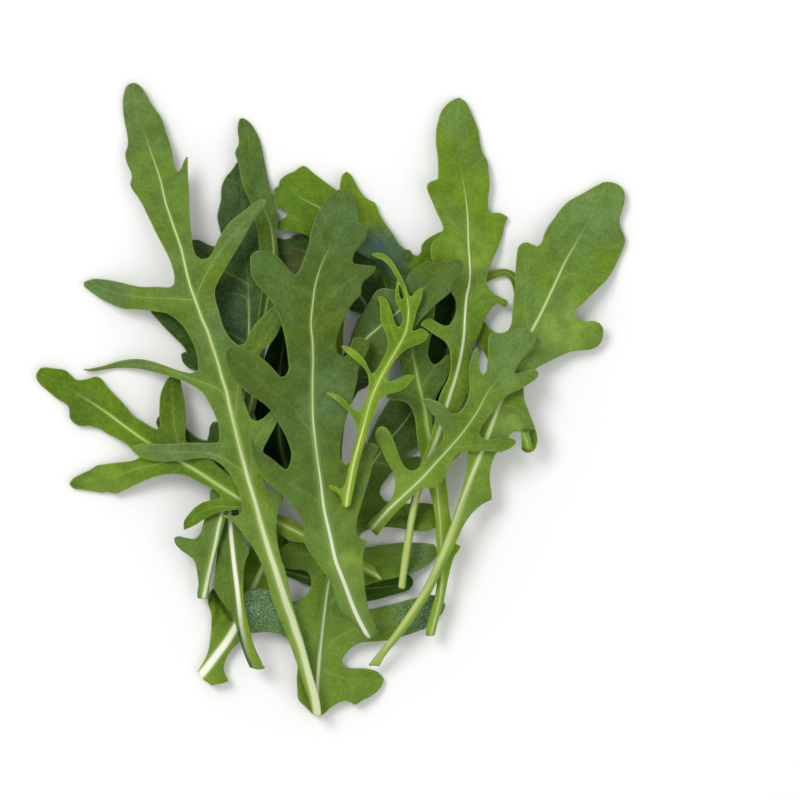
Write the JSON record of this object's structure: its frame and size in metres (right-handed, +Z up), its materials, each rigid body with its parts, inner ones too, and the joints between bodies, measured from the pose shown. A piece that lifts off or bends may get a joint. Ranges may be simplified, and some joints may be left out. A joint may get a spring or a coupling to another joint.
{
  "type": "arugula bunch",
  "caption": "Loose bunch of long lobed rocket leaves heaped flat on a surface, tips to the far side, cut stems gathered at the near side.",
  "frame": {"origin": "middle of the bunch's box, on the surface that it lies on", "axes": "+Z up from the surface, +Y from the cut stems towards the leaf tips, +X to the right as seen from the cut stems"},
  "size_m": [0.1178, 0.1266, 0.021],
  "materials": {
    "leaf_mid": "fresh leaf, satin, mid green with a pale cream-green rib",
    "leaf_fresh": "fresh leaf, satin, lively green",
    "leaf_bright": "young leaf, satin, yellow-green",
    "leaf_grey": "fresh leaf, satin, bluish green",
    "leaf_deep": "fresh leaf, satin, dark green",
    "leaf_shade": "fresh leaf in the heap's shade, satin, very dark green"
  },
  "bodies": {
    "root": {"leaf_low_cross": "leaf_shade", "leaf_foot_left": "leaf_fresh", "leaf_bottom_broad": "leaf_deep", "leaf_shade_middle": "leaf_shade", "leaf_shade_right": "leaf_shade", "leaf_shade_upper": "leaf_deep", "leaf_left_inner": "leaf_deep", "leaf_hooked": "leaf_fresh", "leaf_upper_narrow": "leaf_grey", "leaf_top_round": "leaf_fresh", "leaf_inner_folded": "leaf_fresh", "leaf_left_low": "leaf_fresh", "leaf_right_tall": "leaf_mid", "leaf_right_broad": "leaf_mid", "leaf_cross_blade": "leaf_grey", "leaf_diagonal": "leaf_mid", "leaf_left_large": "leaf_mid", "leaf_centre_large": "leaf_grey", "leaf_small_bright": "leaf_bright"}
  },
  "joints": []
}
